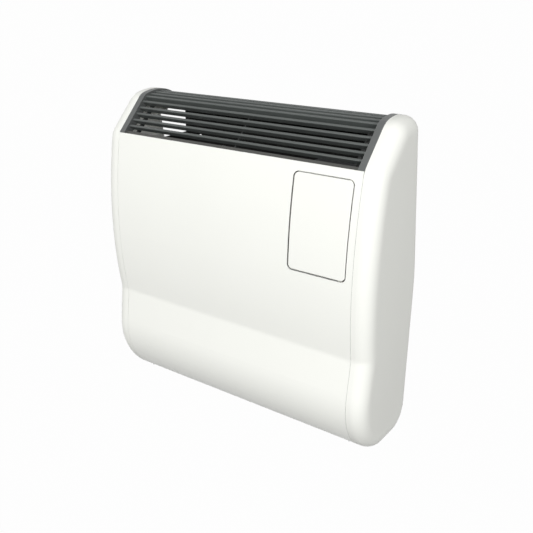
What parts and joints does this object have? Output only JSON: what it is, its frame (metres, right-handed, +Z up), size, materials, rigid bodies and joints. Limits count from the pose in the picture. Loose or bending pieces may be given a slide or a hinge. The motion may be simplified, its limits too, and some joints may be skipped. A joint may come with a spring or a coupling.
{
  "type": "gas convector heater",
  "caption": "Wall-hung room-sealed gas convector heater with a bowed white front, moulded ends, a louvred outlet grille on its sloped top and a hinged control door.",
  "frame": {"origin": "centre of the four wall-fixing holes, on the wall face", "axes": "+X along the wall to the right seen from the room, +Y into the wall, +Z up"},
  "size_m": [0.6, 0.202, 0.6231],
  "materials": {
    "white_enamel": "satin stoved enamel, warm white",
    "white_moulding": "satin moulded white",
    "grille_grey": "satin dark grey",
    "galvanised_sheet": "galvanised",
    "cast_iron_black": "matt black",
    "zinc_screw": "zinc plated",
    "seal_fibre": "pressed ceramic fibre",
    "seal_rubber": "soft matt",
    "burner_steel": "heat stained stainless",
    "ceramic_white": "glazed",
    "sight_glass": "clear",
    "cast_aluminium": "as cast",
    "copper_pipe": "drawn copper",
    "brass_fitting": "turned",
    "black_plastic": "fine grained black",
    "board_green": "solder mask",
    "control_grey": "fine grained grey",
    "button_red": "moulded",
    "lens_amber": "translucent amber"
  },
  "bodies": {
    "casing": {"back_plate": "galvanised_sheet", "chassis_left_side": "galvanised_sheet", "chassis_right_side": "galvanised_sheet", "flue_socket": "galvanised_sheet", "air_socket": "galvanised_sheet", "socket_gaskets": "seal_rubber", "exchanger_posts": "galvanised_sheet", "exchanger_rear_casting": "cast_iron_black", "exchanger_gasket": "seal_fibre", "exchanger_front_casting": "cast_iron_black", "exchanger_bolts": "zinc_screw", "limit_thermostat": "black_plastic", "burner": "burner_steel", "burner_venturi": "cast_aluminium", "air_box": "galvanised_sheet", "gas_injector": "brass_fitting", "ignition_electrode": "ceramic_white", "flame_electrode": "ceramic_white", "sight_glass": "sight_glass", "blower_housing": "cast_aluminium", "blower_motor": "black_plastic", "gas_valve": "cast_aluminium", "valve_solenoids": "black_plastic", "valve_bracket": "galvanised_sheet", "gas_supply_pipe": "copper_pipe", "gas_burner_pipe": "copper_pipe", "gas_inlet_union": "brass_fitting", "fan_scroll": "galvanised_sheet", "fan_motor": "black_plastic", "fan_bush": "seal_rubber", "cable_gland": "black_plastic", "terminal_block": "ceramic_white", "room_sensor": "burner_steel", "control_box": "black_plastic", "control_board": "board_green", "board_components": "black_plastic", "control_switches": "black_plastic", "reset_switch": "black_plastic", "control_fascia": "control_grey", "indicator_lens": "lens_amber", "inlet_guard": "galvanised_sheet", "front_panel": "white_enamel", "left_end_panel": "white_moulding", "right_end_panel": "white_moulding", "casing_screws": "zinc_screw", "grille_lower_rail": "grille_grey", "grille_rear_rail": "grille_grey", "grille_ribs": "grille_grey", "grille_louvres": "grille_grey", "grille_left_cheek": "grille_grey", "grille_right_cheek": "grille_grey", "door_hinge_brackets": "white_moulding", "door_hinge_pins": "burner_steel", "door_catch": "black_plastic"},
    "door": {"control_door": "white_moulding"},
    "temperature_knob": {"temperature_knob": "black_plastic"},
    "mode_knob": {"mode_knob": "black_plastic"},
    "reset_button": {"reset_button": "button_red"},
    "fan": {"fan_impeller": "cast_aluminium"},
    "blower": {"blower_impeller": "burner_steel"}
  },
  "joints": [
    {"name": "door_hinge", "type": "hinge", "parent": "casing", "child": "door", "pos_m": [0.24485, -0.18934, 0.132], "axis": [0, 0.1075, 0.9942], "range_deg": [0, 90]},
    {"name": "temperature_turn", "type": "hinge", "parent": "casing", "child": "temperature_knob", "pos_m": [0.1955, -0.15, 0.17], "axis": [0, 1, 0], "range_deg": [0, 270]},
    {"name": "mode_turn", "type": "hinge", "parent": "casing", "child": "mode_knob", "pos_m": [0.1955, -0.15, 0.116], "axis": [0, 1, 0], "range_deg": [0, 135]},
    {"name": "reset_press", "type": "slide", "parent": "casing", "child": "reset_button", "axis": [0, 1, 0], "range_m": [0, 0.0025], "stiffness_N_per_m": 400},
    {"name": "fan_spin", "type": "hinge", "parent": "casing", "child": "fan", "pos_m": [0, -0.1, -0.2], "axis": [1, 0, 0], "continuous": true},
    {"name": "blower_spin", "type": "hinge", "parent": "casing", "child": "blower", "pos_m": [-0.173, -0.08, 0.14], "axis": [1, 0, 0], "continuous": true}
  ]
}
